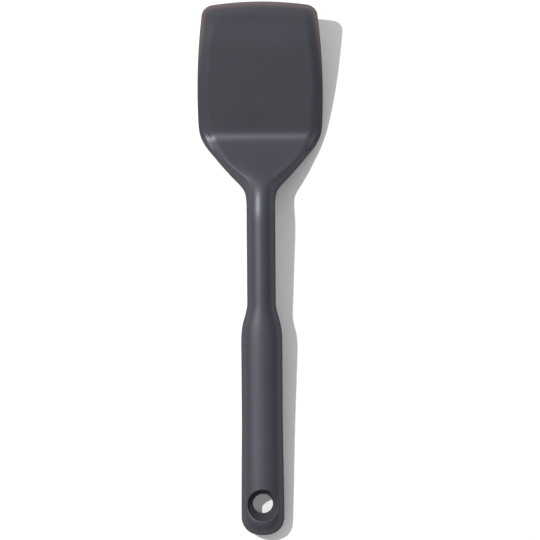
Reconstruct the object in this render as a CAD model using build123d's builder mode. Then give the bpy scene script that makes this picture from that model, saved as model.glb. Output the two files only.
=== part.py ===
from build123d import *
from math import cos, hypot, radians, sin, tan
import os

# A kitchen turner in soft silicone, lying flat as it rests on a table.
# +Z is up, +Y points to the tip of the blade, X is the width. Millimetres.
# Inside the one moulded skin sit a spring steel plate and a nylon core in two halves.

# How it lies: the heel and the end of the grip touch the table
handle_tilt = 4.5
shoulder_fall = 26.5
blade_rise = 21.0

# Blade
blade_length = 71.8
blade_width = 63.4
tip_width = 57.2
side_bow = 1.2
front_bow = 2.85
tip_corner_radius = 5.5
lip_thickness = 1.3
panel_rise = 2.1
heel_belly = 3.5
tip_belly = 0.9
valley_radius = 7.5
heel_flat = 7.5

# Bevels that run from the lip up to the panel and down to the belly
side_bevel = 5.6
front_bevel = 6.2
corner_bevel = 6.3
panel_corner_radius = 2.5
under_bevel = 9.5
under_corner_radius = 4.0
bevel_narrowing_share = 0.2

# Handle
grip_length = 98.5
grip_end_width = 21.8
grip_waist_width = 20.8
grip_front_width = 20.9
grip_waist_share = 0.67
grip_thickness = 15.8
grip_end_radius = 9.0
flare_length = 18.5
shaft_length = 51.5
shaft_diameter = 14.5
neck_bend_radius = 28.0

# Hanging hole, dished from both faces
hole_from_end = 16.0
hole_diameter = 10.2
hole_land = 3.0
dish_diameter = 16.1
dish_shoulder_diameter = 14.0
dish_shoulder_height = 2.1

# Spring steel plate with its tang
plate_thickness = 1.0
plate_width = 44.0
plate_tip_margin = 11.0
plate_corner_radius = 7.0
tang_width = 7.0
tang_length = 48.0
lock_hole_diameter = 5.0
lock_hole_pitch = 12.5
lock_hole_rows = 3

# Nylon core in two halves
skin_wall = 2.1
eye_thickness = 3.8
eye_wall = 1.5
eye_length = 29.0
peg_diameter = 3.0
peg_height = 2.6
peg_pitch = 12.0
peg_count = 3
peg_fit = 0.1
pocket_width = 9.0
pocket_length = 9.5
pocket_depth = 3.0
pocket_rib = 2.0
pocket_count = 5
tongue_stations = 11

# Shares of the head between the shaft, 0, and the blade, 1, from neck to heel
neck_place_shares = (-0.3, 0.0, 0.35, 0.70)
neck_width_shares = (0.0, 0.0, 0.001, 0.013)
neck_depth_shares = (0.0, 0.0, 0.0, 0.05)
neck_round_shares = (1.0, 1.0, 1.0, 0.95)
shoulder_place_shares = (0.0, 0.13, 0.27, 0.53, 0.79, 1.0)
shoulder_width_shares = (0.051, 0.143, 0.27, 0.501, 0.712, 0.865)
shoulder_depth_shares = (0.17, 0.30, 0.45, 0.70, 0.88, 0.97)
shoulder_round_shares = (0.80, 0.55, 0.30, 0.08, 0.0, 0.0)
heel_width_shares = (0.955, 0.988, 0.995, 1.0)
heel_depth_shares = (1.0, 1.0, 1.0, 1.0)
heel_round_shares = (0.0, 0.0, 0.0, 0.0)
station_count = 18

# Shares of the step from the shaft to the grip along the flare
flare_place_shares = (0.15, 0.30, 0.45, 0.62, 0.80)
flare_growth_shares = (0.19, 0.41, 0.675, 0.86, 0.965)

# Corners of a head section as angles when it is fully round
round_corners = (50, 130, 172, 188, 230, 310, 352, 368)
full_turn = 360

# Values worked out from the sizes above
half_lip = lip_thickness / 2
panel_height = half_lip + panel_rise
heel_depth = half_lip + heel_belly
tip_depth = half_lip + tip_belly
shaft_radius = shaft_diameter / 2
handle_length = grip_length + flare_length + shaft_length
heel_bend_radius = valley_radius + panel_height
grip_flatness = grip_thickness / grip_end_width
hole_radius = hole_diameter / 2
mean_slope = radians((blade_rise - shoulder_fall) / 2)
half_heel_bend = radians((blade_rise + shoulder_fall) / 2)
half_neck_bend = radians((handle_tilt + shoulder_fall) / 2)

# Lowest point of the rounded grip end, which stands on the table
end_corner_height = grip_end_radius * grip_flatness
end_drop = hypot(
    grip_end_radius * sin(radians(handle_tilt)),
    end_corner_height * cos(radians(handle_tilt)),
)
end_flat_drop = (grip_thickness / 2 - end_corner_height) * cos(radians(handle_tilt))
end_height = end_drop + end_flat_drop - grip_end_radius * sin(radians(handle_tilt))

# Corners of the spine, the middle line of handle, shoulder and blade, seen from the side
neck_height = end_height + handle_length * sin(radians(handle_tilt))
heel_height = heel_depth + heel_bend_radius * (1 - cos(mean_slope) / cos(half_heel_bend))
handle_reach = handle_length * cos(radians(handle_tilt))
shoulder_reach = (neck_height - heel_height) / tan(radians(shoulder_fall))
blade_reach = blade_length * cos(radians(blade_rise))
total_reach = handle_reach + shoulder_reach + blade_reach
end_y = -total_reach / 2
neck_y = end_y + handle_reach
heel_y = neck_y + shoulder_reach
tip_y = heel_y + blade_reach
tip_height = heel_height + blade_length * sin(radians(blade_rise))

# The spine is tangent arcs and straight runs in the middle plane
spine_corners = (
    (end_y, end_height),
    (neck_y, neck_height),
    (heel_y, heel_height),
    (tip_y, tip_height),
)
with BuildLine(Plane.YZ) as spine_line:
    FilletPolyline(*spine_corners, radius=(neck_bend_radius, heel_bend_radius))
spine = spine_line.wire()

# Lengths along the spine to the starts and ends of its bends
neck_tangent = neck_bend_radius * tan(half_neck_bend)
heel_tangent = heel_bend_radius * tan(half_heel_bend)
neck_start = handle_length - neck_tangent
neck_end = neck_start + 2 * neck_bend_radius * half_neck_bend
shoulder_run = shoulder_reach / cos(radians(shoulder_fall)) - neck_tangent - heel_tangent
heel_start = neck_end + shoulder_run
heel_end = heel_start + 2 * heel_bend_radius * half_heel_bend
blade_start = heel_end + heel_flat
neck_root = neck_start + (neck_end - neck_start) * neck_place_shares[0]
flat_length = blade_length - heel_tangent - heel_flat


def spine_plane(distance):
    """Plane square to the spine at a length from the grip end, its own y pointing up."""
    place = spine.position_at(distance, position_mode=PositionMode.LENGTH)
    along = spine.tangent_at(distance, position_mode=PositionMode.LENGTH)
    return Plane(origin=place, x_dir=(1, 0, 0), z_dir=-along)


def head_section(distance, width_share, depth_share, round_share, inset):
    """Cross-section of the head: a bevelled plate that turns into a round shaft."""
    blade_part = (blade_width / 2 - shaft_radius) * width_share
    half_width = shaft_radius + blade_part
    top = shaft_radius + (panel_height - shaft_radius) * depth_share
    bottom = shaft_radius + (heel_depth - shaft_radius) * depth_share
    bevel = side_bevel * (1 - bevel_narrowing_share * (1 - depth_share))
    under_share = 1 - 2 * under_bevel / blade_width
    crease = half_width - bevel
    under_crease = half_width * under_share
    flat_corners = (
        (crease, top),
        (-crease, top),
        (-half_width, half_lip),
        (-half_width, -half_lip),
        (-under_crease, -bottom),
        (under_crease, -bottom),
        (half_width, -half_lip),
        (half_width, half_lip),
    )

    def rounded(angle):
        height = top if sin(radians(angle)) > 0 else bottom
        return Vector(half_width * cos(radians(angle)), height * sin(radians(angle)))

    def blend(flat, angle):
        return Vector(flat) * (1 - round_share) + rounded(angle) * round_share

    def shrunk(point):
        across = (half_width - inset) / half_width
        upright = (top - inset) / top if point.Y > 0 else (bottom - inset) / bottom
        return Vector(point.X * across, point.Y * upright)

    corners = [shrunk(blend(*pair)) for pair in zip(flat_corners, round_corners)]
    edges = []
    for index in range(len(corners)):
        start = corners[index]
        end = corners[(index + 1) % len(corners)]
        if round_share > 0:
            flat_start = Vector(flat_corners[index])
            flat_end = Vector(flat_corners[(index + 1) % len(corners)])
            next_angle = round_corners[(index + 1) % len(corners)]
            if next_angle < round_corners[index]:
                next_angle = next_angle + full_turn
            middle_angle = (round_corners[index] + next_angle) / 2
            middle = shrunk(blend((flat_start + flat_end) / 2, middle_angle))
            edges.append(ThreePointArc(start, middle, end))
        else:
            edges.append(Line(start, end))
    return spine_plane(distance) * Face(Wire(edges))


def between(distance, distances, values):
    """Value at a distance, in straight steps between the rows of a table."""
    for near, far, low, high in zip(distances, distances[1:], values, values[1:]):
        if distance <= far:
            return low + (high - low) * (distance - near) / (far - near)
    return values[-1]


def head_stations():
    """Even steps along the spine from neck to blade: length, width, depth and roundness."""
    neck = [neck_start + (neck_end - neck_start) * share for share in neck_place_shares]
    shoulder = [neck_end + shoulder_run * share for share in shoulder_place_shares]
    heel = [(heel_start + heel_end) / 2, heel_end, heel_end + heel_flat / 2, blade_start]
    places = neck + shoulder + heel
    widths = neck_width_shares + shoulder_width_shares + heel_width_shares
    depths = neck_depth_shares + shoulder_depth_shares + heel_depth_shares
    rounds = neck_round_shares + shoulder_round_shares + heel_round_shares
    step = (blade_start - neck_root) / (station_count - 1)
    rows = []
    for index in range(station_count):
        distance = neck_root + step * index
        rows.append(
            (
                distance,
                between(distance, places, widths),
                between(distance, places, depths),
                between(distance, places, rounds),
            )
        )
    return rows


# Plane along the handle through its axis, and plane along the blade through its lip
handle_slope = radians(handle_tilt)
handle_plane = Plane(
    origin=(0, end_y, end_height),
    x_dir=(1, 0, 0),
    z_dir=(0, -sin(handle_slope), cos(handle_slope)),
)
blade_slope = radians(blade_rise)
blade_plane = Plane(
    origin=spine.position_at(blade_start, position_mode=PositionMode.LENGTH),
    x_dir=(1, 0, 0),
    z_dir=(0, -sin(blade_slope), cos(blade_slope)),
)


def grip_oval(inset):
    """Oval grip with its rounded end, turned about the handle axis and then flattened."""
    end_radius = grip_end_radius - inset
    with BuildPart() as turned:
        with BuildSketch(Plane.XY):
            with BuildLine():
                flat_edge = (grip_end_width / 2 - grip_end_radius, inset)
                side_start = (grip_end_width / 2 - inset, grip_end_radius)
                side_end = (grip_front_width / 2 - inset, grip_length)
                waist = (grip_waist_width / 2 - inset, grip_length * grip_waist_share)
                Line((0, inset), flat_edge)
                RadiusArc(flat_edge, side_start, -end_radius)
                Spline(side_start, waist, side_end, tangents=[(0, 1), (0, 1)])
                Line(side_end, (0, grip_length))
                Line((0, grip_length), (0, inset))
            make_face()
        revolve(axis=Axis.Y)
    half_width = grip_end_width / 2 - inset
    half_height = grip_thickness / 2 - inset
    flattened = scale(turned.part, by=(1, 1, half_height / half_width))
    return handle_plane.location * flattened


def handle_body(inset):
    """Grip, flare and shaft, each side brought in by the inset."""
    front_height = grip_front_width / 2 - inset
    front_height = front_height * (grip_thickness / 2 - inset) / (grip_end_width / 2 - inset)
    front_width = grip_front_width / 2 - inset
    round_radius = shaft_radius - inset
    grip = grip_oval(inset)
    with BuildPart() as body:
        add(grip)
        with BuildSketch(spine_plane(grip_length)):
            Ellipse(front_width, front_height)
        for place, growth in zip(reversed(flare_place_shares), reversed(flare_growth_shares)):
            with BuildSketch(spine_plane(grip_length + flare_length * (1 - place))):
                Ellipse(
                    round_radius + (front_width - round_radius) * growth,
                    round_radius + (front_height - round_radius) * growth,
                )
        with BuildSketch(spine_plane(grip_length + flare_length)):
            Circle(round_radius)
        loft()
        with BuildSketch(spine_plane(grip_length + flare_length)):
            Circle(round_radius)
        extrude(amount=-(neck_root - grip_length - flare_length))
    return body.part


def blade_outline(plane, rear_width, front_width, front, bow, nose_bow, corner_radius):
    """Outline of one level of the blade, from its straight rear edge to its arched front."""
    bowed_width = (rear_width + front_width) / 2 + bow
    with BuildSketch(plane) as outline:
        with BuildLine():
            rear_right = (rear_width, 0)
            front_right = (front_width, front - nose_bow)
            front_left = (-front_width, front - nose_bow)
            rear_left = (-rear_width, 0)
            Line(rear_left, rear_right)
            ThreePointArc(rear_right, (bowed_width, (front - nose_bow) / 2), front_right)
            ThreePointArc(front_right, (0, front), front_left)
            ThreePointArc(front_left, (-bowed_width, (front - nose_bow) / 2), rear_left)
        make_face()
        fillet(outline.vertices().group_by(Axis.Y)[-1], corner_radius)
    return outline.sketch


def neck_and_shoulder(inset, stations):
    """Loft through the head's cross-sections at the given stations."""
    sections = [head_section(*station, inset) for station in stations]
    with BuildPart() as body:
        loft(sections)
    return body.part


# Outer form of the whole turner: blade, shoulder and neck, shaft and grip
under_slope = (heel_depth - tip_depth) / flat_length
half_blade = blade_width / 2
half_tip = tip_width / 2
under_plane = Plane(
    origin=blade_plane.from_local_coords((0, 0, -heel_depth)),
    x_dir=(1, 0, 0),
    z_dir=blade_plane.z_dir - blade_plane.y_dir * under_slope,
)
levels = [
    blade_outline(
        under_plane,
        half_blade - under_bevel,
        half_tip - under_bevel,
        flat_length - under_bevel,
        side_bow,
        front_bow / 2,
        under_corner_radius,
    ),
    blade_outline(
        blade_plane.offset(-half_lip),
        half_blade,
        half_tip,
        flat_length,
        side_bow,
        front_bow,
        tip_corner_radius,
    ),
    blade_outline(
        blade_plane.offset(half_lip),
        half_blade,
        half_tip,
        flat_length,
        side_bow,
        front_bow,
        tip_corner_radius,
    ),
    blade_outline(
        blade_plane.offset(panel_height),
        half_blade - side_bevel,
        half_tip - corner_bevel,
        flat_length - front_bevel,
        2 * side_bow,
        front_bow * (1 - corner_bevel / half_tip) ** 2,
        panel_corner_radius,
    ),
]


def hanging_cutter(land_radius, reach):
    """Round cutter for the hanging hole: a straight land with a dish towards each face."""
    shoulder_radius = land_radius + (dish_shoulder_diameter - hole_diameter) / 2
    rim_radius = land_radius + (dish_diameter - hole_diameter) / 2
    shoulder_height = hole_land / 2 + dish_shoulder_height
    with BuildPart() as cutter:
        with BuildSketch(hole_plane):
            with BuildLine():
                Line((0, 0), (land_radius, 0))
                Line((land_radius, 0), (land_radius, hole_land / 2))
                ThreePointArc(
                    (land_radius, hole_land / 2),
                    (shoulder_radius, shoulder_height),
                    (rim_radius, grip_thickness / 2),
                )
                Line((rim_radius, grip_thickness / 2), (rim_radius, reach))
                Line((rim_radius, reach), (0, reach))
                Line((0, reach), (0, 0))
            make_face()
        revolve(axis=Axis(hole_plane.origin, hole_plane.y_dir))
        mirror(about=handle_plane)
    return cutter.part


# Upright plane across the handle at the hanging hole
hole_plane = Plane(
    origin=handle_plane.from_local_coords((0, hole_from_end, 0)),
    x_dir=(1, 0, 0),
    z_dir=-handle_plane.y_dir,
)

outer_handle = handle_body(0)
outer_neck = neck_and_shoulder(0, head_stations())
hanging_hole = hanging_cutter(hole_radius, grip_thickness)

with BuildPart() as outer:
    loft(levels, ruled=True)
    add(outer_neck)
    add(outer_handle)
    add(hanging_hole, mode=Mode.SUBTRACT)

# Spring steel plate: a strip along the spine, cut to its outline seen from above
plate_start = handle_length - tang_length
plate_end = blade_start + flat_length - plate_tip_margin
tang_end_y = spine_plane(plate_start).origin.Y
plate_front_y = spine_plane(plate_end).origin.Y
plate_shoulder_y = spine_plane(neck_end).origin.Y
plate_heel_y = spine_plane(heel_end).origin.Y
plate_reach = blade_length

# Middle of the row of pegs, on the part of the tang that lies in the straight shaft
peg_plane = Plane(
    origin=spine_plane((plate_start + neck_root) / 2).origin,
    x_dir=(1, 0, 0),
    z_dir=handle_plane.z_dir,
)

with BuildPart() as blade_plate:
    with BuildSketch(Plane.YZ):
        with BuildLine():
            FilletPolyline(*spine_corners, radius=(neck_bend_radius, heel_bend_radius))
        trace(line_width=plate_thickness)
    extrude(amount=plate_width, both=True)
    with BuildSketch(Plane.XY):
        with BuildLine():
            Polyline(
                (tang_width / 2, tang_end_y),
                (tang_width / 2, plate_shoulder_y),
                (plate_width / 2, plate_heel_y),
                (plate_width / 2, plate_front_y),
                (-plate_width / 2, plate_front_y),
                (-plate_width / 2, plate_heel_y),
                (-tang_width / 2, plate_shoulder_y),
                (-tang_width / 2, tang_end_y),
                close=True,
            )
        plate_face = make_face()
        fillet(plate_face.vertices().group_by(Axis.Y)[-1], plate_corner_radius)
        fillet(plate_face.vertices().group_by(Axis.Y)[-2], plate_corner_radius)
    extrude(amount=plate_reach, mode=Mode.INTERSECT)
    with BuildSketch(blade_plane):
        with Locations((0, (flat_length - plate_tip_margin) / 2)):
            with GridLocations(lock_hole_pitch, lock_hole_pitch, lock_hole_rows, lock_hole_rows):
                Circle(lock_hole_diameter / 2)
    extrude(amount=plate_thickness, both=True, mode=Mode.SUBTRACT)
    with BuildSketch(peg_plane):
        with GridLocations(0, peg_pitch, 1, peg_count):
            Circle(peg_diameter / 2 + peg_fit)
    extrude(amount=plate_thickness, both=True, mode=Mode.SUBTRACT)

# Nylon core: the handle's own form brought in by the skin, with a flat eye at the end
core_handle = handle_body(skin_wall)
core_neck = neck_and_shoulder(skin_wall, head_stations()[:tongue_stations])
eye_hole = hole_radius + eye_wall

with BuildPart() as core_form:
    add(core_handle)
    add(core_neck)
    with BuildSketch(handle_plane.offset(eye_thickness / 2)):
        Rectangle(2 * grip_end_width, 2 * eye_length)
    extrude(amount=grip_thickness, mode=Mode.SUBTRACT)
    with BuildSketch(handle_plane.offset(-eye_thickness / 2)):
        Rectangle(2 * grip_end_width, 2 * eye_length)
    extrude(amount=-grip_thickness, mode=Mode.SUBTRACT)
    with BuildSketch(handle_plane):
        with Locations((0, hole_from_end)):
            Circle(eye_hole)
    extrude(amount=grip_thickness, both=True, mode=Mode.SUBTRACT)

# Region above the spine, which parts the core into an upper and a lower half
with BuildPart() as above_spine:
    with BuildSketch(Plane.YZ):
        with BuildLine():
            FilletPolyline(*spine_corners, radius=(neck_bend_radius, heel_bend_radius))
            Polyline(
                (tip_y, tip_height),
                (tip_y, handle_length),
                (end_y, handle_length),
                (end_y, end_height),
            )
        make_face()
    extrude(amount=blade_width, both=True)

pocket_pitch = pocket_length + pocket_rib
pocket_plane = Plane(
    origin=handle_plane.from_local_coords(
        (0, eye_length + pocket_rib + pocket_pitch * pocket_count / 2, 0)
    ),
    x_dir=(1, 0, 0),
    z_dir=handle_plane.z_dir,
)


with BuildPart() as core_upper_half:
    add(core_form.part)
    add(above_spine.part, mode=Mode.INTERSECT)
    add(blade_plate.part, mode=Mode.SUBTRACT)
    with BuildSketch(pocket_plane):
        with GridLocations(0, pocket_pitch, 1, pocket_count):
            RectangleRounded(pocket_width, pocket_length, pocket_rib)
    extrude(amount=pocket_depth, mode=Mode.SUBTRACT)
    with BuildSketch(peg_plane):
        with GridLocations(0, peg_pitch, 1, peg_count):
            Circle(peg_diameter / 2 + peg_fit)
    extrude(amount=peg_height + peg_fit, mode=Mode.SUBTRACT)

with BuildPart() as core_lower_half:
    add(core_form.part)
    add(above_spine.part, mode=Mode.SUBTRACT)
    add(blade_plate.part, mode=Mode.SUBTRACT)
    with BuildSketch(pocket_plane):
        with GridLocations(0, pocket_pitch, 1, pocket_count):
            RectangleRounded(pocket_width, pocket_length, pocket_rib)
    extrude(amount=-pocket_depth, mode=Mode.SUBTRACT)
    with BuildSketch(peg_plane):
        with GridLocations(0, peg_pitch, 1, peg_count):
            Circle(peg_diameter / 2)
    extrude(amount=peg_height)

# The silicone fills all that the core and the plate leave free
with BuildPart() as silicone_skin:
    add(outer.part)
    add(core_form.part, mode=Mode.SUBTRACT)
    add(blade_plate.part, mode=Mode.SUBTRACT)

os.makedirs("parts", exist_ok=True)
pieces = {
    "silicone_skin": silicone_skin,
    "blade_plate": blade_plate,
    "core_upper_half": core_upper_half,
    "core_lower_half": core_lower_half,
}
for name, piece in pieces.items():
    piece.part.label = name
    export_step(piece.part, f"parts/{name}.step")
    print(name, piece.part.is_valid, len(piece.part.solids()), piece.part.volume)
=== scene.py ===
"""Looks of the silicone turner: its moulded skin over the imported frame, its materials and the stage."""

import math

import bpy
import numpy as np
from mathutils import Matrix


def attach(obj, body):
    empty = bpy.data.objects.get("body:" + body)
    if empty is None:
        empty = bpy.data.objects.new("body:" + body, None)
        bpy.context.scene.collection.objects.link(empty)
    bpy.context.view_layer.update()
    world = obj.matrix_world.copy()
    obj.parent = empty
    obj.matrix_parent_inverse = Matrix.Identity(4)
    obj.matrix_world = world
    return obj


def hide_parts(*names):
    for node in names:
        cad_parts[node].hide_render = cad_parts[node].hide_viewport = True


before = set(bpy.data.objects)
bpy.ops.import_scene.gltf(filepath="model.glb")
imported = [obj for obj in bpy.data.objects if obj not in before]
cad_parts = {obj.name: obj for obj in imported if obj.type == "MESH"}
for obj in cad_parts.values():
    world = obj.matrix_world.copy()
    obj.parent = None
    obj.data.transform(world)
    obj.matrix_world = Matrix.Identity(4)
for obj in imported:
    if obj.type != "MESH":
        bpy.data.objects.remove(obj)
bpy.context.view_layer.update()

MM = 0.001

# Sizes of the turner in millimetres, as in the part's source. Only the bows and the corner radii of the
# tip and the panel are the skin's own.
HANDLE_TILT = math.radians(4.5)
SHOULDER_FALL = math.radians(26.5)
BLADE_RISE = math.radians(21.0)
BLADE_LENGTH = 71.8
HALF_BLADE = 31.7
HALF_TIP = 28.6
SIDE_BOW = 1.18
FRONT_BOW = 2.55
TIP_CORNER_RADIUS = 6.3
HALF_LIP = 0.65
PANEL_HEIGHT = 2.75
HEEL_DEPTH = 4.15
TIP_DEPTH = 1.55
HEEL_FLAT = 7.5
SIDE_BEVEL = 5.6
FRONT_BEVEL = 6.2
CORNER_BEVEL = 6.3
PANEL_CORNER_RADIUS = 3.5
UNDER_BEVEL = 9.5
UNDER_CORNER_RADIUS = 4.0
GRIP_LENGTH = 98.5
HALF_GRIP_END = 10.9
HALF_GRIP_WAIST = 10.4
HALF_GRIP_FRONT = 10.45
GRIP_WAIST_SHARE = 0.67
GRIP_THICKNESS = 15.8
GRIP_END_RADIUS = 9.0
FLARE_LENGTH = 18.5
SHAFT_LENGTH = 51.5
SHAFT_RADIUS = 7.25
NECK_BEND = 28.0
HEEL_BEND = 10.25
HOLE_FROM_END = 16.0
HOLE_RADIUS = 5.1
HALF_LAND = 1.5
DISH_SHOULDER_RADIUS = 7.0
DISH_SHOULDER_HEIGHT = 3.6
DISH_RIM_RADIUS = 8.05
DISH_RIM_HEIGHT = 7.9

HANDLE_LENGTH = GRIP_LENGTH + FLARE_LENGTH + SHAFT_LENGTH
GRIP_FLATNESS = GRIP_THICKNESS / (2 * HALF_GRIP_END)
# The rounded tip ends this much short, so that it stays inside the solid's box
TIP_MARGIN = 0.06


# Spine: the line that the handle, shoulder and blade follow
# How softly its bends start and end, as the spread of a blur
BEND_SOFTNESS = 1.5
SPINE_FROM, SPINE_TO, SPINE_STEP = -5.0, 300.0, 0.05


def spine_numbers():
    """Places of the spine's corners and the lengths at which its bends start and end."""
    corner_height = GRIP_END_RADIUS * GRIP_FLATNESS
    half_thickness = HALF_GRIP_END * GRIP_FLATNESS
    sine, cosine = math.sin(HANDLE_TILT), math.cos(HANDLE_TILT)
    end_z = math.hypot(GRIP_END_RADIUS * sine, corner_height * cosine)
    end_z += (half_thickness - corner_height) * cosine - GRIP_END_RADIUS * sine
    neck_z = end_z + HANDLE_LENGTH * sine
    half_heel = (BLADE_RISE + SHOULDER_FALL) / 2
    half_neck = (HANDLE_TILT + SHOULDER_FALL) / 2
    lean = math.cos((BLADE_RISE - SHOULDER_FALL) / 2) / math.cos(half_heel)
    heel_z = HEEL_DEPTH + HEEL_BEND * (1 - lean)
    shoulder_reach = (neck_z - heel_z) / math.tan(SHOULDER_FALL)
    reach = HANDLE_LENGTH * cosine + shoulder_reach + BLADE_LENGTH * math.cos(BLADE_RISE)
    neck_tangent = NECK_BEND * math.tan(half_neck)
    heel_tangent = HEEL_BEND * math.tan(half_heel)
    neck_start = HANDLE_LENGTH - neck_tangent
    neck_end = neck_start + 2 * NECK_BEND * half_neck
    shoulder_run = shoulder_reach / math.cos(SHOULDER_FALL) - neck_tangent - heel_tangent
    heel_start = neck_end + shoulder_run
    heel_end = heel_start + 2 * HEEL_BEND * half_heel
    return -reach / 2, end_z, neck_start, neck_end, heel_start, heel_end, heel_tangent


END_Y, END_Z, NECK_START, NECK_END, HEEL_START, HEEL_END, HEEL_TANGENT = spine_numbers()
BLADE_START = HEEL_END + HEEL_FLAT
FLAT_LENGTH = BLADE_LENGTH - HEEL_TANGENT - HEEL_FLAT - TIP_MARGIN


def spine_table():
    """Y, Z and slope of the spine at close steps, with bends that start and end softly."""
    d = np.arange(SPINE_FROM, SPINE_TO, SPINE_STEP)
    turns = ((NECK_START, NECK_END, -1.0 / NECK_BEND), (HEEL_START, HEEL_END, 1.0 / HEEL_BEND))
    slope = np.full(d.shape, HANDLE_TILT)
    for start, end, bend in turns:
        slope = slope + bend * (np.clip(d, start, end) - start)
    reach = np.arange(-4 * BEND_SOFTNESS, 4 * BEND_SOFTNESS + SPINE_STEP / 2, SPINE_STEP)
    weights = np.exp(-0.5 * (reach / BEND_SOFTNESS) ** 2)
    edge = len(reach) // 2
    slope = np.convolve(np.pad(slope, edge, mode="edge"), weights / weights.sum(), mode="valid")
    middle = (slope[1:] + slope[:-1]) / 2
    y = np.concatenate(((0.0,), np.cumsum(np.cos(middle) * SPINE_STEP)))
    z = np.concatenate(((0.0,), np.cumsum(np.sin(middle) * SPINE_STEP)))
    return d, y - np.interp(0.0, d, y) + END_Y, z - np.interp(0.0, d, z) + END_Z, slope


SPINE_D, SPINE_Y, SPINE_Z, SPINE_SLOPE = spine_table()


def spine(d):
    """Y, Z and slope of the spine at lengths d from the grip end."""
    return tuple(np.interp(d, SPINE_D, values) for values in (SPINE_Y, SPINE_Z, SPINE_SLOPE))


def to_world(points):
    """Points (across, along the spine, height over the spine) to X, Y, Z in metres."""
    points = np.asarray(points, float)
    y, z, slope = spine(points[:, 1])
    out = np.empty_like(points)
    out[:, 0] = points[:, 0]
    out[:, 1] = y - points[:, 2] * np.sin(slope)
    out[:, 2] = z + points[:, 2] * np.cos(slope)
    return out * MM


# Skin: how its loops are laid out
# A loop goes round a cross-section: right crease, left crease, left lip, left and right belly, right lip
# Where its corners stand when the loop is round
CORNER_ANGLES = np.radians((50.0, 130.0, 172.0, 188.0, 230.0, 310.0, 352.0, 368.0))
TURN = 2 * math.pi
# How many steps each edge between two corners has, and each corner's rounding
ACROSS, ON_BEVEL, ON_LIP = 44, 12, 2
EDGE_STEPS = (ACROSS, ON_BEVEL, ON_LIP, ON_BEVEL, ACROSS, ON_BEVEL, ON_LIP, ON_BEVEL)
ROUNDING_STEPS = 6
# How far from a corner its rounding starts
PANEL_CUT, LIP_CUT, BELLY_CUT = 1.3, 0.34, 2.2
CUTS = np.array((PANEL_CUT, PANEL_CUT, LIP_CUT, LIP_CUT, BELLY_CUT, BELLY_CUT, LIP_CUT, LIP_CUT))
# Half the angle of a corner's rounding when the loop is round
ROUND_ANGLE = math.radians(3.0)


def loop_layout():
    """For each point of a loop: its corner or edge, its share along it, and its angle when round."""
    rows = []
    angles = np.append(CORNER_ANGLES, CORNER_ANGLES[0] + TURN)
    for k, (angle, following) in enumerate(zip(angles, angles[1:])):
        for step in range(ROUNDING_STEPS + 1):
            share = step / ROUNDING_STEPS
            rows.append(("corner", k, share, angle + (2 * share - 1) * ROUND_ANGLE))
        for step in range(1, EDGE_STEPS[k]):
            share = step / EDGE_STEPS[k]
            between = following - angle - 2 * ROUND_ANGLE
            rows.append(("edge", k, share, angle + ROUND_ANGLE + between * share))
    return rows


LAYOUT = loop_layout()
LOOP = len(LAYOUT)
LOOP_ANGLES = np.array([row[3] for row in LAYOUT])
CORNER_STARTS = [i for i, (kind, _, share, _) in enumerate(LAYOUT) if kind == "corner" and share == 0]
# The top grid runs from the end of corner 0 to the start of corner 1, the bottom grid likewise
TOP = list(range(CORNER_STARTS[0] + ROUNDING_STEPS, CORNER_STARTS[1] + 1))
BOTTOM = list(range(CORNER_STARTS[4] + ROUNDING_STEPS, CORNER_STARTS[5] + 1))
LEFT_RIM = list(range(TOP[-1] + 1, BOTTOM[0]))
RIGHT_RIM = list(range(BOTTOM[-1] + 1, LOOP)) + list(range(0, TOP[0]))


def round_off(first, corner, last, share):
    """Point at a share of the way from first to last, on a curve drawn towards the corner."""
    return first * (1 - share) ** 2 + corner * 2 * share * (1 - share) + last * share ** 2


def rounded_polygon(corners, cuts):
    """Points of a loop on a closed polygon of eight corners, each corner rounded over its cut."""
    corners = np.asarray(corners, float)
    along = np.roll(corners, -1, axis=0) - corners
    lengths = np.linalg.norm(along, axis=1)
    units = along / lengths[:, None]
    out = np.empty((LOOP, corners.shape[1]))
    for index, (kind, k, share, _) in enumerate(LAYOUT):
        start = corners[k] + units[k] * cuts[k]
        if kind == "corner":
            out[index] = round_off(corners[k] - units[k - 1] * cuts[k], corners[k], start, share)
        else:
            following = (k + 1) % len(corners)
            end = corners[following] - units[k] * cuts[following]
            out[index] = start + (end - start) * share
    return out


def soft_step(x):
    """From 0 to 1 with a soft start and a soft end."""
    x = np.clip(x, 0.0, 1.0)
    return x * x * (3 - 2 * x)


def smooth_table(pairs, flat_ends=True):
    """Smooth curve without overshoot through pairs of place and value, as a function."""
    x, y = np.asarray(pairs, float).T
    step = np.diff(x)
    rise = np.diff(y) / step
    slope = np.zeros(len(x))
    for i in range(1, len(x) - 1):
        if rise[i - 1] * rise[i] > 0:
            a = 2 * step[i] + step[i - 1]
            b = step[i] + 2 * step[i - 1]
            slope[i] = (a + b) / (a / rise[i - 1] + b / rise[i])
    if not flat_ends:
        slope[0], slope[-1] = rise[0], rise[-1]

    def value(at):
        at = np.clip(np.asarray(at, float), x[0], x[-1])
        i = np.clip(np.searchsorted(x, at, side="right") - 1, 0, len(x) - 2)
        t = (at - x[i]) / step[i]
        h00 = (1 + 2 * t) * (1 - t) ** 2
        h10 = t * (1 - t) ** 2
        h01 = t * t * (3 - 2 * t)
        h11 = t * t * (t - 1)
        return h00 * y[i] + h10 * step[i] * slope[i] + h01 * y[i + 1] + h11 * step[i] * slope[i + 1]

    return value


# Skin: handle
# The loops of the handle end a little before the neck's bend
NECK_ROOT = NECK_START - 0.3 * (NECK_END - NECK_START)
# The flare is blurred by this spread, and the blur sets in over this length of the grip before it
FLARE_SOFTNESS = 0.9
FLARE_BLEND = 4.0
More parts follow.
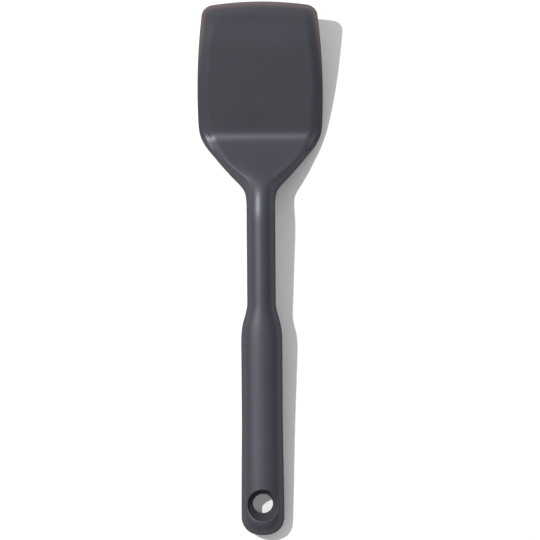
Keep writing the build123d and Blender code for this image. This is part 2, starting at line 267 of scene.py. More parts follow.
# The close loops of the flare go on this far onto the shaft
FLARE_RUNOUT = 3.0
grip_side = smooth_table((
    (GRIP_END_RADIUS, HALF_GRIP_END),
    (GRIP_LENGTH * GRIP_WAIST_SHARE, HALF_GRIP_WAIST),
    (GRIP_LENGTH, HALF_GRIP_FRONT),
))
# Share of the flare's length from the shaft, and share of its growth
flare_growth = smooth_table(
    ((0.0, 0.0), (0.15, 0.19), (0.30, 0.41), (0.45, 0.675), (0.62, 0.86), (0.80, 0.965), (1.0, 1.0)),
    flat_ends=False,
)


# Steps between the loops of each stretch, from the grip's end to the blade
END_STEPS, GRIP_STEPS, FLARE_STEPS, SHAFT_STEPS = 18, 74, 36, 24
NECK_STEPS, SHOULDER_STEPS, HEEL_STEPS, FLAT_STEPS = 25, 45, 29, 8


def steps_to(start, end, steps):
    """Even steps from start to end, without the start itself."""
    return np.linspace(start, end, steps + 1)[1:]


def sharp_half_size(s):
    """Half width and half height of the handle at lengths s, before the flare is softened."""
    s = np.asarray(s, float)
    cap = HALF_GRIP_END - GRIP_END_RADIUS
    cap = cap + np.sqrt(np.maximum(GRIP_END_RADIUS ** 2 - (GRIP_END_RADIUS - s) ** 2, 0.0))
    width = np.where(s < GRIP_END_RADIUS, cap, grip_side(s))
    height = width * GRIP_FLATNESS
    share = flare_growth(1 - (s - GRIP_LENGTH) / FLARE_LENGTH)
    beyond = s > GRIP_LENGTH
    front_height = HALF_GRIP_FRONT * GRIP_FLATNESS
    width = np.where(beyond, SHAFT_RADIUS + (HALF_GRIP_FRONT - SHAFT_RADIUS) * share, width)
    height = np.where(beyond, SHAFT_RADIUS + (front_height - SHAFT_RADIUS) * share, height)
    return width, height


def half_size(s):
    """Half width and half height of the handle, with a soft corner where the flare meets the shaft."""
    s = np.asarray(s, float)
    offsets = np.linspace(-3, 3, 25) * FLARE_SOFTNESS
    weights = np.exp(-0.5 * (offsets / FLARE_SOFTNESS) ** 2)
    weights = weights / weights.sum()
    width, height = sharp_half_size(s)
    soft_width = sum(w * sharp_half_size(s + o)[0] for w, o in zip(weights, offsets))
    soft_height = sum(w * sharp_half_size(s + o)[1] for w, o in zip(weights, offsets))
    share = np.clip((s - GRIP_LENGTH + FLARE_BLEND) / FLARE_BLEND, 0.0, 1.0)
    return width + (soft_width - width) * share, height + (soft_height - height) * share


def handle_stations():
    """Lengths of the handle's loops: close together on the round end, at the hole and on the flare."""
    flare_end = GRIP_LENGTH + FLARE_LENGTH + FLARE_RUNOUT
    return np.concatenate((
        GRIP_END_RADIUS * (1 - np.cos(np.linspace(0, math.pi / 2, END_STEPS + 1))),
        steps_to(GRIP_END_RADIUS, GRIP_LENGTH, GRIP_STEPS),
        steps_to(GRIP_LENGTH, flare_end, FLARE_STEPS),
        steps_to(flare_end, NECK_ROOT, SHAFT_STEPS),
    ))


def handle_loop(s):
    """Oval loop of the handle at a length s from the grip end."""
    width, height = half_size(s)
    across, up = width * np.cos(LOOP_ANGLES), height * np.sin(LOOP_ANGLES)
    return np.stack((across, np.full(LOOP, s), up), axis=1)


# Skin: neck and shoulder
# Each table goes by length along the spine, from the shaft to the blade. This one is the half width
head_width = smooth_table((
    (156.2, 7.25), (165.0, 7.25), (169.7, 7.32), (172.9, 7.63), (176.3, 8.6), (179.8, 10.9),
    (183.2, 13.95), (186.7, 16.8), (190.2, 19.6), (193.6, 22.1), (197.1, 24.7), (200.7, 27.3),
    (204.0, 29.25), (207.1, 30.6), (210.2, 31.3), (214.3, 31.6), (218.3, 31.7),
))
# How round the loop is: 1 is the oval of the shaft, 0 the eight corners of the blade
head_round = smooth_table((
    (160.0, 1.0), (171.3, 0.97), (175.9, 0.88), (179.3, 0.72), (183.0, 0.45), (189.8, 0.12),
    (196.6, 0.0),
))
# Height of the top over the spine
head_top = smooth_table((
    (156.2, 7.25), (165.0, 7.25), (168.5, 7.38), (171.3, 7.64), (174.0, 7.8), (176.5, 7.74),
    (179.5, 7.3), (183.0, 6.5), (187.0, 5.55), (191.0, 4.75), (196.0, 3.95), (200.0, 3.45),
    (203.0, 3.15), (206.4, 2.95), (210.0, 2.8), (218.3, 2.75),
))
# Depth of the underside below the spine
head_bottom = smooth_table((
    (160.7, 7.25), (166.0, 7.25), (171.3, 7.1), (175.9, 6.72), (179.3, 6.32), (183.0, 5.86),
    (189.8, 5.08), (196.6, 4.52), (202.2, 4.24), (206.4, 4.15), (218.3, 4.15),
))
# How far in from the side the top crease lies
head_inset = smooth_table((
    (156.2, 3.6), (172.0, 3.6), (177.0, 2.0), (181.0, 0.8), (185.0, 0.5), (189.0, 0.9),
    (193.0, 2.0), (197.0, 3.6), (201.0, 5.0), (204.0, 5.7), (206.5, 5.9), (209.6, 5.2),
    (218.3, 5.6),
))
# How widely the top crease is rounded
head_cut = smooth_table((
    (170.0, 3.0), (186.0, 3.0), (192.0, 2.5), (197.0, 2.1), (203.0, 1.9), (212.0, PANEL_CUT),
))
# Height of the ridge that makes the small facets at the corners of the heel
head_facet = smooth_table((
    (196.0, 0.0), (200.0, 0.28), (203.0, 0.42), (206.0, 0.42), (209.0, 0.27), (212.0, 0.1),
    (216.0, 0.0),
))
# How much of that height each point of a loop takes, with the ridge along the middle of the top bevels
FACET = np.array([
    1 - abs(2 * share - 1) if kind == "edge" and k in (1, 7) else 0.0 for kind, k, share, _ in LAYOUT
])


def head_loop(d):
    """Loop of the neck, shoulder or heel at a length d along the spine."""
    width = float(head_width(d))
    round_share = float(head_round(d))
    top = float(head_top(d))
    bottom = float(head_bottom(d))
    crease = width - float(head_inset(d))
    under = width * (1 - UNDER_BEVEL / HALF_BLADE)
    corners = (
        (crease, top),
        (-crease, top),
        (-width, HALF_LIP),
        (-width, -HALF_LIP),
        (-under, -bottom),
        (under, -bottom),
        (width, -HALF_LIP),
        (width, HALF_LIP),
    )
    cuts = CUTS.copy()
    cuts[:2] = float(head_cut(d))
    flat = rounded_polygon(corners, cuts)
    flat[:, 1] += FACET * float(head_facet(d))
    height = np.where(np.sin(LOOP_ANGLES) > 0, top, bottom)
    full = np.stack((width * np.cos(LOOP_ANGLES), height * np.sin(LOOP_ANGLES)), axis=1)
    mixed = flat * (1 - round_share) + full * round_share
    return np.stack((mixed[:, 0], np.full(LOOP, d), mixed[:, 1]), axis=1)


def head_stations():
    """Lengths of the loops from the neck to the start of the blade's grid."""
    return np.concatenate((
        steps_to(NECK_ROOT, NECK_END, NECK_STEPS),
        steps_to(NECK_END, HEEL_START, SHOULDER_STEPS),
        steps_to(HEEL_START, HEEL_END, HEEL_STEPS),
        steps_to(HEEL_END, BLADE_START, FLAT_STEPS)[:-1],
    ))


# Skin: blade
FIT_ROUNDS = 60


class Outline:
    """Right half of one level of the blade: bowed side, round corner and arched front.

    Points are (across, along), from the start of the blade's grid.
    """

    def __init__(self, rear, front, length, bow, nose, radius):
        self.rear, self.front, self.bow, self.nose = rear, front, bow, nose
        self.side_length = length - nose
        v, u = self.side_length - radius, front - radius
        # The corner's arc is moved until it touches both the side and the front
        for _ in range(FIT_ROUNDS):
            side_slope = self.side_slope(v)
            side_normal = np.array((1.0, -side_slope)) / math.hypot(1.0, side_slope)
            nose_slope = -2 * nose * u / front ** 2
            nose_normal = np.array((-nose_slope, 1.0)) / math.hypot(1.0, nose_slope)
            centre_side = np.array((self.side(v), v)) - radius * side_normal
            centre_nose = np.array((u, self.arch(u))) - radius * nose_normal
            v = v + (centre_nose[1] - centre_side[1])
            u = u + (centre_side[0] - centre_nose[0])
        self.v_end, self.u_end = v, u
        self.centre = (centre_side + centre_nose) / 2
        self.radius = radius
        self.angles = (
            math.atan2(side_normal[1], side_normal[0]),
            math.atan2(nose_normal[1], nose_normal[0]),
        )

    def side(self, v):
        share = v / self.side_length
        return self.rear + (self.front - self.rear) * share + 4 * self.bow * share * (1 - share)

    def side_slope(self, v):
        share = v / self.side_length
        return ((self.front - self.rear) + 4 * self.bow * (1 - 2 * share)) / self.side_length

    def arch(self, u):
        return self.side_length + self.nose * (1 - (u / self.front) ** 2)

    def side_points(self, side_steps, corner_steps):
        """Points up the right side and half of its corner."""
        v = np.linspace(0.0, 1.0, side_steps + 1) * self.v_end
        side = np.stack((self.side(v), v), axis=1)
        middle = sum(self.angles) / 2
        angle = np.linspace(self.angles[0], middle, corner_steps + 1)[1:]
        return np.concatenate((side, self.arc(angle)))

    def front_points(self, corner_steps, across):
        """Points along the front from the middle of the right corner to that of the left one."""
        middle = sum(self.angles) / 2
        angle = np.linspace(middle, self.angles[1], corner_steps + 1)
        right = self.arc(angle)
        u = np.linspace(self.u_end, -self.u_end, across - 2 * corner_steps + 1)[1:-1]
        front = np.stack((u, self.arch(u)), axis=1)
        left = right[::-1] * (-1, 1)
        return np.concatenate((right, front, left))

    def arc(self, angle):
        return self.centre + self.radius * np.stack((np.cos(angle), np.sin(angle)), axis=1)


PANEL = Outline(
    HALF_BLADE - SIDE_BEVEL,
    HALF_TIP - CORNER_BEVEL,
    FLAT_LENGTH - FRONT_BEVEL,
    2 * SIDE_BOW,
    FRONT_BOW * (1 - CORNER_BEVEL / HALF_TIP) ** 2,
    PANEL_CORNER_RADIUS,
)
LIP = Outline(HALF_BLADE, HALF_TIP, FLAT_LENGTH, SIDE_BOW, FRONT_BOW, TIP_CORNER_RADIUS)
BELLY = Outline(
    HALF_BLADE - UNDER_BEVEL,
    HALF_TIP - UNDER_BEVEL,
    FLAT_LENGTH - UNDER_BEVEL,
    SIDE_BOW,
    FRONT_BOW / 2,
    UNDER_CORNER_RADIUS,
)
SIDE_STEPS, CORNER_STEPS, NOSE_CORNER_STEPS = 56, 7, 6
# The blade sags along its length, the lip rises again towards the tip, and the panel droops there
BLADE_SAG = 0.013
SAG_RUN = 12.0
LIFT_START, LIFT_END = 32.0, FLAT_LENGTH - 2.0
PANEL_DROOP = 0.7
DROOP_START, DROOP_END = 36.0, FLAT_LENGTH - FRONT_BEVEL
# Painted glow of light through the thin lip: it starts here towards the tip and reaches in from the edge
# this far
GLOW_START, GLOW_RUN = 8.0, 42.0
GLOW_REACH, GLOW_REACH_GAIN = 0.4, 1.0


def belly_height(v):
    """Height of the belly's flat at a length v along the blade."""
    return -(HEEL_DEPTH - (HEEL_DEPTH - TIP_DEPTH) * v / FLAT_LENGTH)


def rim_profile(panel, lip, belly):
    """Points from the panel over bevel, lip and belly slope, for one place on the blade's outline."""
    belly_z = belly_height(belly[1])
    points = [
        np.array((panel[0], panel[1], PANEL_HEIGHT)),
        np.array((lip[0], lip[1], HALF_LIP)),
        np.array((lip[0], lip[1], -HALF_LIP)),
        np.array((belly[0], belly[1], belly_z)),
    ]
    inward = np.array((panel[0] - lip[0], panel[1] - lip[1]))
    inward = inward / np.linalg.norm(inward)
    start = points[0] + np.array((inward[0], inward[1], 0.0)) * PANEL_CUT
    inner = np.array((belly[0] - lip[0], belly[1] - lip[1]))
    inner = inner / np.linalg.norm(inner)
    after = belly + inner * BELLY_CUT
    end = np.array((after[0], after[1], belly_height(after[1])))
    out = []
    cuts = (PANEL_CUT, LIP_CUT, LIP_CUT, BELLY_CUT)
    for k, point in enumerate(points):
        before = start if k == 0 else points[k - 1]
        behind = end if k == 3 else points[k + 1]
        back = (before - point) / np.linalg.norm(before - point)
        ahead = (behind - point) / np.linalg.norm(behind - point)
        first, last = point + back * cuts[k], point + ahead * cuts[k]
        for step in range(ROUNDING_STEPS + 1):
            out.append(round_off(first, point, last, step / ROUNDING_STEPS))
        if k < 3:
            far = points[k + 1]
            arrive = far + (point - far) / np.linalg.norm(point - far) * cuts[k + 1]
            steps = (ON_BEVEL, ON_LIP, ON_BEVEL)[k]
            for step in range(1, steps):
                out.append(last + (arrive - last) * step / steps)
    return np.array(out)


def coons(left, right, near, far, rows):
    """Grid of points inside four boundary curves; rows are shares up the sides."""
    across = np.linspace(0.0, 1.0, len(near))[None, :, None]
    up = np.asarray(rows)[:, None, None]
    ruled_up = near[None] * (1 - up) + far[None] * up
    ruled_across = left[:, None] * (1 - across) + right[:, None] * across
    corners = (
        near[0] * (1 - across) * (1 - up)
        + near[-1] * across * (1 - up)
        + far[0] * (1 - across) * up
        + far[-1] * across * up
    )
    return ruled_up + ruled_across - corners


def bend_tip(points):
    """Lets the lip curve up towards the front, so that the front bevel is shallow."""
    points = np.array(points)
    v, h = points[..., 1], points[..., 2]
    belly = belly_height(v)
    above = np.clip((PANEL_HEIGHT - h) / (PANEL_HEIGHT - HALF_LIP), 0.0, 1.0)
    below = np.clip((h - belly) / (-HALF_LIP - belly), 0.0, 1.0)
    on_lip = np.minimum(above, below)
    on_panel = np.clip((h - HALF_LIP) / (PANEL_HEIGHT - HALF_LIP), 0.0, 1.0)
    sink = BLADE_SAG * v * soft_step(v / SAG_RUN)
    lift = BLADE_SAG * FLAT_LENGTH * soft_step((v - LIFT_START) / (LIFT_END - LIFT_START)) * on_lip
    droop = PANEL_DROOP * soft_step((v - DROOP_START) / (DROOP_END - DROOP_START)) * on_panel
    points[..., 2] = h - sink + lift - droop
    return points


def lip_glow_mask(rim):
    """Mask of the painted glow of light through the thin lip, from the distance to the blade's edge."""
    edge = rim[:, len(rim[0]) // 3 : len(rim[0]) // 3 + 1, :2]
    away = np.linalg.norm(rim[..., :2] - edge, axis=2)
    share = soft_step((rim[..., 1] - GLOW_START) / GLOW_RUN)
    return np.exp(-((away / (GLOW_REACH + GLOW_REACH_GAIN * share)) ** 1.5)) * share


def blade_grids():
    """Top grid, bottom grid and rim profiles of the blade, from its straight start to the tip."""
    sides = [level.side_points(SIDE_STEPS, CORNER_STEPS) for level in (PANEL, LIP, BELLY)]
    fronts = [level.front_points(NOSE_CORNER_STEPS, ACROSS) for level in (PANEL, LIP, BELLY)]
    right = np.array([rim_profile(*points) for points in zip(*sides)])
    front = np.array([rim_profile(*points) for points in zip(*fronts)])
    mirror = np.array((-1.0, 1.0, 1.0))
    left = right * mirror
    grids = []
    for end in (0, -1):
        near = np.linspace(right[0, end], left[0, end], ACROSS + 1)
        steps = np.linalg.norm(np.diff(right[:, end], axis=0), axis=1)
        rows = np.concatenate(((0.0,), np.cumsum(steps) / steps.sum()))
        grids.append(coons(right[:, end], left[:, end], near, front[:, end], rows))
    return grids[0], grids[1], right, left, front


# Skin: hanging hole
# The patch that the hole's rings fill starts at this angle from the grip's sides, between these lengths
BLOCK_ANGLE = math.radians(24.0)
BLOCK_FROM, BLOCK_TO = 5.4, 26.6
# Shares of the way from the patch's border to the washer, the first ring that is a circle
PATCH_SHARES = (0.3, 0.58, 0.82)
WASHER_RADIUS = 8.95
WASHER_RINGS, RIM_RINGS, DISH_RINGS, LAND_RINGS = 4, 5, 12, 3
ARC_POINTS = 400
# How far from the rim and from the land's edge their rounding starts
RIM_CUT, LAND_CUT = 0.45, 0.35


def circle_through(a, b, c):
    """Centre and radius of the circle through three points."""
    (ax, ay), (bx, by), (cx, cy) = a, b, c
    d = 2 * (ax * (by - cy) + bx * (cy - ay) + cx * (ay - by))
    x = ((ax**2 + ay**2) * (by - cy) + (bx**2 + by**2) * (cy - ay) + (cx**2 + cy**2) * (ay - by)) / d
    y = ((ax**2 + ay**2) * (cx - bx) + (bx**2 + by**2) * (ax - cx) + (cx**2 + cy**2) * (bx - ax)) / d
    return np.array((x, y)), math.hypot(ax - x, ay - y)


def grip_height(u, s):
    """Height of the grip's top at u across and at a length s, without the hole."""
    width, height = half_size(s)
    return height * np.sqrt(np.maximum(1 - (u / width) ** 2, 0.0))


def dish_arc():
    """Radii and heights of the dish's arc, from the land's edge to beyond the grip's top."""
    land = (HOLE_RADIUS, HALF_LAND)
    rim = (DISH_RIM_RADIUS, DISH_RIM_HEIGHT)
    centre, radius = circle_through(land, (DISH_SHOULDER_RADIUS, DISH_SHOULDER_HEIGHT), rim)
    low, high = (math.atan2(z - centre[1], r - centre[0]) for r, z in (land, rim))
    # The arc goes the short way round
    if high - low > math.pi:
        high -= TURN
    if low - high > math.pi:
        high += TURN
    angles = np.linspace(low, high, ARC_POINTS)
    return centre[0] + radius * np.cos(angles), centre[1] + radius * np.sin(angles)


DISH_R, DISH_Z = dish_arc()
DISH_LENGTHS = np.concatenate(((0.0,), np.cumsum(np.hypot(np.diff(DISH_R), np.diff(DISH_Z)))))


def on_dish(length):
    """Radius and height on the dish at a length from the land's edge."""
    return np.array([np.interp(length, DISH_LENGTHS, values) for values in (DISH_R, DISH_Z)])


def on_grip(direction, radius):
    """Radius and height on the grip's own top, in a direction from the hole's axis."""
    height = grip_height(radius * direction[0], HOLE_FROM_END + radius * direction[1])
    return np.array((radius, float(height)))


def hole_profile(direction):
    """Radii and heights from the washer over the rim and down the dish to mid thickness, one way out."""
    surface = grip_height(DISH_R * direction[0], HOLE_FROM_END + DISH_R * direction[1])
    above = np.nonzero(DISH_Z > surface)[0]
    cross = above[0] if len(above) else len(DISH_Z) - 1
    corner = np.array((DISH_R[cross], DISH_Z[cross]))
    rim_start = on_grip(direction, corner[0] + RIM_CUT)
    arc_start = DISH_LENGTHS[cross] - RIM_CUT
    rim_end = on_dish(arc_start)
    edge = np.array((HOLE_RADIUS, HALF_LAND))
    edge_start, edge_end = on_dish(LAND_CUT), edge - (0.0, LAND_CUT)
    washer_radii = np.linspace(WASHER_RADIUS, rim_start[0], WASHER_RINGS + 1)[:-1]
    points = [on_grip(direction, radius) for radius in washer_radii]
    points += [round_off(rim_start, corner, rim_end, share) for share in np.linspace(0, 1, RIM_RINGS + 1)]
    points += [on_dish(length) for length in steps_to(arc_start, LAND_CUT, DISH_RINGS)]
    points += [round_off(edge_start, edge, edge_end, share) for share in steps_to(0, 1, LAND_RINGS)]
    points.append(np.array((HOLE_RADIUS, 0.0)))
    return np.array(points)


# Skin: one closed mesh
class Builder:
    """Collects points (across, along, height), faces and each point's mask of the painted glow through the
    lip.
    """

    def __init__(self):
        self.points, self.faces, self.painted_glow = [], [], []

    def add(self, block, painted_glow=None):
        """Adds a block of points and gives their numbers in the same layout."""
        block = np.asarray(block, float)
        first = len(self.points)
        self.points.extend(block.reshape(-1, 3))
        self.painted_glow.extend(np.zeros(block.size // 3) if painted_glow is None else np.asarray(painted_glow).ravel())
        return np.arange(first, first + len(block.reshape(-1, 3))).reshape(block.shape[:-1])

    def quads(self, grid, skip=None):
        """Faces between neighbouring rows and columns of a grid of point numbers."""
        for j in range(grid.shape[0] - 1):
            for i in range(grid.shape[1] - 1):
                if skip is None or not skip(j, i):
                    self.faces.append((grid[j, i], grid[j, i + 1], grid[j + 1, i + 1], grid[j + 1, i]))

    def ring(self, inner, outer):
        """Faces between two closed rings of the same count."""
        count = len(inner)
        for i in range(count):
            following = (i + 1) % count
            self.faces.append((inner[i], inner[following], outer[following], outer[i]))


def block_limits(stations):
    """Rows and loop columns of the patch that the hanging hole takes out of the grip's top."""
    first = int(np.argmin(np.abs(stations - BLOCK_FROM)))
    last = int(np.argmin(np.abs(stations - BLOCK_TO)))
    angles = np.mod(LOOP_ANGLES, TURN)
    order = np.argsort(angles)
    top = [i for i in order if BLOCK_ANGLE < angles[i] < math.pi - BLOCK_ANGLE]
    return first, last, top


def columns_below(columns):
    """Loop columns straight below the given ones."""
    lower = {round(float(math.cos(a)), 6): i for i, a in enumerate(LOOP_ANGLES) if math.sin(a) < 0}
    return [lower[round(float(math.cos(LOOP_ANGLES[i])), 6)] for i in columns]


def hole_rings(builder, grid, stations, upper):
    """Rings of points from the patch's border on one face of the grip, over the rim, down the dish."""
    first, last, columns = block_limits(stations)
    if not upper:
        columns = columns_below(columns)
    border = [grid[first, c] for c in columns]
    border += [grid[j, columns[-1]] for j in range(first + 1, last)]
    border += [grid[last, c] for c in reversed(columns)]
    border += [grid[j, columns[0]] for j in range(last - 1, first, -1)]
    outer = np.array([builder.points[i] for i in border])
    offsets = outer[:, :2] - (0.0, HOLE_FROM_END)
    reach = np.linalg.norm(offsets, axis=1)
    directions = offsets / reach[:, None]
    sign = 1.0 if upper else -1.0
    rings = [np.array(border)]
    for share in PATCH_SHARES:
        radii = reach + (WASHER_RADIUS - reach) * share
        u = directions[:, 0] * radii
        s = HOLE_FROM_END + directions[:, 1] * radii
        rings.append(builder.add(np.stack((u, s, sign * grip_height(u, s)), axis=1)))
    profiles = np.array([hole_profile(direction) for direction in directions])
    for k in range(profiles.shape[1] - 1):
        r, z = profiles[:, k, 0], profiles[:, k, 1]
        ring = np.stack((directions[:, 0] * r, HOLE_FROM_END + directions[:, 1] * r, sign * z), axis=1)
        rings.append(builder.add(ring))
    return rings, directions


def add_blade(builder):
    """Adds the blade's loops, and gives their numbers and the points and painted glow mask of the front
    rim.
    """
    parts = blade_grids()
    glow_right, glow_left, glow_front = (lip_glow_mask(part) for part in parts[2:])
    top, bottom, right, left, front = (bend_tip(part) + (0.0, BLADE_START, 0.0) for part in parts)
    blade = np.empty((len(top), LOOP), int)
    blade[:, TOP] = builder.add(top)
    blade[:, BOTTOM] = builder.add(bottom)[:, ::-1]
    blade[:, LEFT_RIM] = builder.add(left[:, 1:-1], glow_left[:, 1:-1])
    blade[:, RIGHT_RIM] = builder.add(right[:, 1:-1], glow_right[:, 1:-1])[:, ::-1]
    return blade, front, glow_front


def close_end(builder, loop):
    """Faces of the grip's round end."""
    centre = builder.add(np.zeros((1, 3)))[0]
    for i in range(LOOP):
        builder.faces.append((centre, loop[(i + 1) % LOOP], loop[i]))


def close_front(builder, loop, front, glow_front):
    """Faces of the blade's front rim, from the last loop's top to its underside."""
    ids = np.empty(front.shape[:2], int)
    ids[1:-1, 1:-1] = builder.add(front[1:-1, 1:-1], glow_front[1:-1, 1:-1])
    ids[:, 0] = loop[TOP]
    ids[:, -1] = loop[BOTTOM[::-1]]
    ids[0, 1:-1] = loop[RIGHT_RIM[::-1]]
    ids[-1, 1:-1] = loop[LEFT_RIM]
    builder.quads(ids.T)


def line_hole(builder, grid, stations):
    """Faces of the hanging hole, the same from both faces of the grip to mid thickness."""
    top_rings, directions = hole_rings(builder, grid, stations, True)
    bottom_rings, _ = hole_rings(builder, grid, stations, False)
    u = directions[:, 0] * HOLE_RADIUS
    s = HOLE_FROM_END + directions[:, 1] * HOLE_RADIUS
    middle = builder.add(np.stack((u, s, np.zeros(len(u))), axis=1))
    for near, far in zip(top_rings, top_rings[1:] + [middle]):
        builder.ring(near, far)
    for near, far in zip(bottom_rings, bottom_rings[1:] + [middle]):
        builder.ring(near[::-1], far[::-1])


def mesh_object(name, builder):
    """Object of what the builder holds, without unused points and with its faces turned outwards."""
    used = sorted({int(v) for face in builder.faces for v in face})
    place = {v: i for i, v in enumerate(used)}
    faces = [tuple(place[int(v)] for v in reversed(face)) for face in builder.faces]
    mesh = bpy.data.meshes.new(name)
    mesh.from_pydata(to_world(np.array(builder.points)[used]).tolist(), [], faces)
    # Point attribute with the mask of the glow painted on the lip, standing in for light shining through it
    painted_glow = mesh.attributes.new("painted_glow", "FLOAT", "POINT")
    painted_glow.data.foreach_set("value", np.array(builder.painted_glow)[used])
    mesh.shade_smooth()
    obj = bpy.data.objects.new(name, mesh)
    bpy.context.collection.objects.link(obj)
    return obj


def skin_mesh():
    """The whole silicone skin as one closed mesh, with the mask of the glow painted on its lip as a point
    attribute.
    """
    builder = Builder()
    stations = handle_stations()
    loops = [handle_loop(s) for s in stations] + [head_loop(d) for d in head_stations()]
    tube = builder.add(np.array(loops))
    blade, front, glow_front = add_blade(builder)
    whole = np.concatenate((tube, blade))
    first, last, columns = block_limits(stations)
    open_columns = set(columns[:-1]) | set(columns_below(columns)[1:])
    wrapped = np.concatenate((whole, whole[:, :1]), axis=1)
    builder.quads(wrapped, lambda j, i: first <= j < last and i in open_columns)
    close_end(builder, whole[0])
    close_front(builder, whole[-1], front, glow_front)
    line_hole(builder, tube, stations)
    return mesh_object("silicone_body", builder)


# Materials
def give(node, **values):
    """Sets a node's inputs by name, with _ for a space, and what is no input as a setting of the node."""
    for key, value in values.items():
        name = key.replace("_", " ")
        if name in node.inputs:
            node.inputs[name].default_value = value
        else:
            setattr(node, key.lower(), value)


def add(tree, kind, **values):
    """New node of a kind, with its values."""
    node = tree.nodes.new(kind)
    give(node, **values)
    return node


def compute(tree, operation, *terms):
    """Output of a math node whose terms are sockets or numbers."""
    node = add(tree, "ShaderNodeMath", Operation=operation)
    for entry, term in zip(node.inputs, terms):
        if isinstance(term, float):
            entry.default_value = term
        else:
            tree.links.new(term, entry)
    return node.outputs["Value"]


def new_material(name, **values):
    """Material with its node tree and its shader, whose even values are set."""
    material = bpy.data.materials.new(name)
    material.use_nodes = True
    tree = material.node_tree
    shader = next(n for n in tree.nodes if n.type == "BSDF_PRINCIPLED")
    give(shader, **values)
    return material, tree, shader


def noise(tree, vector, **values):
    """Noise over a vector's space."""
    node = add(tree, "ShaderNodeTexNoise", **values)
    tree.links.new(vector, node.inputs["Vector"])
    return node.outputs["Fac"]


def tones(tree, source, *stops):
    """Colour from a source, between two stops of position and colour."""
    node = add(tree, "ShaderNodeValToRGB")
    for element, (position, colour) in zip(node.color_ramp.elements, stops):
        element.position = position
        element.color = (*colour, 1.0)
    tree.links.new(source, node.inputs["Fac"])
    return node.outputs["Color"]


def span(tree, source, **limits):
    """The source brought from one span of numbers to another."""
    node = add(tree, "ShaderNodeMapRange", **limits)
    tree.links.new(source, node.inputs["Value"])
    return node.outputs["Result"]


def mix(tree, factor, a, b, kind="FLOAT"):
    """Mix of a socket with an even number or colour."""
    node = add(tree, "ShaderNodeMix", Data_Type=kind, B=b)
    tree.links.new(factor, node.inputs["Factor"])
    tree.links.new(a, node.inputs["A"])
    return node.outputs["Result"]


def grain(tree, shader, source, strength, distance):
    """Fine relief of the surface."""
    node = add(tree, "ShaderNodeBump", Strength=strength, Distance=distance)
    tree.links.new(source, node.inputs["Height"])
    tree.links.new(node.outputs["Normal"], shader.inputs["Normal"])


def silicone():
    """Charcoal silicone with a satin skin."""
    material, tree, shader = new_material(
        "moulded_silicone", IOR=1.5, Specular_IOR_Level=0.92, Specular_Tint=(0.87, 0.89, 1.0, 1.0)
    )
    link = tree.links.new
    place = add(tree, "ShaderNodeTexCoord").outputs["Object"]
    cloud = noise(tree, place, Scale=38.0, Detail=3.0, Roughness=0.55)
    tone = tones(tree, cloud, (0.3, (0.0275, 0.0272, 0.0362)), (0.7, (0.0310, 0.0307, 0.0402)))
    # A warm tone painted on the thin lip stands in for the glow of light shining through it
    painted_glow = add(tree, "ShaderNodeAttribute", Attribute_Name="painted_glow").outputs["Fac"]
    link(mix(tree, painted_glow, tone, (0.125, 0.088, 0.080, 1.0), "RGBA"), shader.inputs["Base Color"])
    # The satin skin loses its gloss where it is seen at a low angle
    facing = add(tree, "ShaderNodeLayerWeight", Blend=0.5).outputs["Facing"]
    low = span(tree, facing, From_Min=0.18, From_Max=0.70)
    gloss = span(tree, cloud, To_Min=0.42, To_Max=0.48)
    link(mix(tree, low, gloss, 1.0), shader.inputs["Roughness"])
    fine = noise(tree, place, Scale=2600.0, Detail=2.0, Roughness=0.6)
    grain(tree, shader, fine, 0.12, 0.00006)
    return material


def steel():
    """Rolled spring steel, with its grain along the blade."""
    material, tree, shader = new_material("spring_steel", Metallic=1.0)
    link = tree.links.new
    place = add(tree, "ShaderNodeTexCoord").outputs["Object"]
    stretch = add(tree, "ShaderNodeMapping", Scale=(900.0, 12.0, 12.0))
    link(place, stretch.inputs["Vector"])
    lines = noise(tree, stretch.outputs["Vector"], Scale=1.0, Detail=4.0, Roughness=0.6)
    tone = tones(tree, lines, (0.0, (0.42, 0.42, 0.41)), (1.0, (0.62, 0.62, 0.60)))
    link(tone, shader.inputs["Base Color"])
    link(span(tree, lines, To_Min=0.28, To_Max=0.42), shader.inputs["Roughness"])
    grain(tree, shader, lines, 0.1, 0.00003)
    return material


def nylon():
    """Black glass-filled nylon with a fine speck."""
    material, tree, shader = new_material("glass_filled_nylon")
    link = tree.links.new
    place = add(tree, "ShaderNodeTexCoord").outputs["Object"]
    speck = noise(tree, place, Scale=900.0, Detail=4.0, Roughness=0.7)
    tone = tones(tree, speck, (0.35, (0.024, 0.024, 0.026)), (0.75, (0.060, 0.060, 0.062)))
    link(tone, shader.inputs["Base Color"])
    link(span(tree, speck, To_Min=0.5, To_Max=0.68), shader.inputs["Roughness"])
    grain(tree, shader, speck, 0.25, 0.00008)
    return material


def dress(node, material):
    """Gives a CAD node its better material through its material slots."""
    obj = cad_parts[node]
    if not obj.material_slots:
        obj.data.materials.append(material)
    for material_slot in obj.material_slots:
        material_slot.material = material


silicone_material = silicone()
dress("silicone_skin", silicone_material)
skin = skin_mesh()
skin.data.materials.append(silicone_material)
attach(skin, "root")
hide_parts("silicone_skin")
dress("blade_plate", steel())
nylon_material = nylon()
dress("core_upper_half", nylon_material)
dress("core_lower_half", nylon_material)


# Floor, light and camera
TABLE_SIZE = 6.0
# The camera and mirrors see the white table this much brighter than it lights the turner
TABLE_GLOW = 0.07
# Evenly dim light of the room
ROOM = 0.06
# Direction, strength and narrowness of each soft light: overhead, beyond the tip, to the left, in front
SOFT_BOXES = (
    ((0.0, 0.0, 1.0), 0.35, 2.0),
    ((-0.25, 0.90, 0.36), 0.87, 2.0),
    ((-0.62, -0.15, 0.77), 0.40, 10.0),
    ((0.0, -0.67, 0.74), 0.26, 8.0),
)
LAMP_PLACE = (-0.80, 0.48, 1.70)
LAMP_POWER = 113.0
LAMP_RADIUS = 0.025
CAMERA_PLACE = (0.0044, 0.0, 1.5)
CAMERA_TURN = math.radians(-0.39)
SENSOR_WIDTH = 36.0
# Width of what the camera sees at the table
PICTURE_WIDTH = 540 * 0.000512


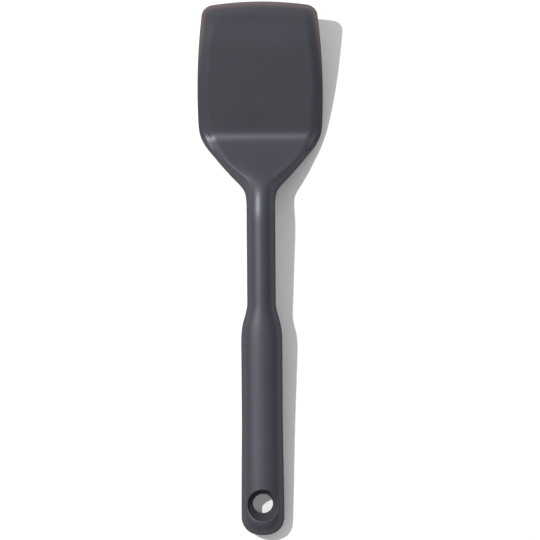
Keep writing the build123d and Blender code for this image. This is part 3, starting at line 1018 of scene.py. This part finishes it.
def floor():
    """White table that keeps the turner's shadow."""
    bpy.ops.mesh.primitive_plane_add(size=TABLE_SIZE, location=(0.0, 0.0, 0.0))
    plane = bpy.context.object
    plane.name = "white_table"
    material, tree, shader = new_material(
        "white_table", Base_Color=(0.95, 0.95, 0.95, 1.0), Roughness=0.9, Specular_IOR_Level=0.1
    )
    ray = add(tree, "ShaderNodeLightPath").outputs
    seen = compute(tree, "MAXIMUM", ray["Is Camera Ray"], ray["Is Glossy Ray"])
    seen = compute(tree, "MAXIMUM", seen, ray["Is Transmission Ray"])
    glow = add(tree, "ShaderNodeEmission", Color=(1.0, 1.0, 1.0, 1.0))
    tree.links.new(compute(tree, "MULTIPLY", seen, TABLE_GLOW), glow.inputs["Strength"])
    both = add(tree, "ShaderNodeAddShader")
    tree.links.new(shader.outputs["BSDF"], both.inputs[0])
    tree.links.new(glow.outputs["Emission"], both.inputs[1])
    output = next(n for n in tree.nodes if n.type == "OUTPUT_MATERIAL")
    tree.links.new(both.outputs["Shader"], output.inputs["Surface"])
    plane.data.materials.append(material)


def lights():
    """Soft lights of the room in the world, and one lamp that casts the shadow."""
    world = bpy.data.worlds.new("studio")
    bpy.context.scene.world = world
    world.use_nodes = True
    tree = world.node_tree
    background = tree.nodes["Background"]
    give(background, Color=(1.0, 1.0, 1.0, 1.0))
    place = add(tree, "ShaderNodeTexCoord").outputs["Generated"]
    strength = ROOM
    for direction, share, narrowness in SOFT_BOXES:
        toward = add(tree, "ShaderNodeVectorMath", Operation="DOT_PRODUCT")
        toward.inputs[1].default_value = direction
        tree.links.new(place, toward.inputs[0])
        lit = compute(tree, "MAXIMUM", toward.outputs["Value"], 0.0)
        lit = compute(tree, "POWER", lit, narrowness)
        strength = compute(tree, "MULTIPLY_ADD", lit, share, strength)
    # From low angles the camera sees white beyond the table. The satin gloss reflects the soft lights alone
    ray = add(tree, "ShaderNodeLightPath").outputs
    strength = compute(tree, "MAXIMUM", strength, ray["Is Camera Ray"])
    tree.links.new(strength, background.inputs["Strength"])
    lamp = bpy.data.objects.new("key", bpy.data.lights.new("key", "POINT"))
    lamp.data.energy = LAMP_POWER
    lamp.data.shadow_soft_size = LAMP_RADIUS
    lamp.location = LAMP_PLACE
    bpy.context.collection.objects.link(lamp)


def camera():
    """Camera straight above the table, as in the photo."""
    eye = bpy.data.objects.new("camera", bpy.data.cameras.new("camera"))
    eye.data.sensor_width = SENSOR_WIDTH
    eye.data.lens = SENSOR_WIDTH * CAMERA_PLACE[2] / PICTURE_WIDTH
    eye.data.clip_start = 0.1
    eye.data.clip_end = 10.0
    eye.location = CAMERA_PLACE
    eye.rotation_euler = (0.0, 0.0, CAMERA_TURN)
    bpy.context.collection.objects.link(eye)
    bpy.context.scene.camera = eye


floor()
lights()
camera()
bpy.context.scene.view_settings.view_transform = "Standard"
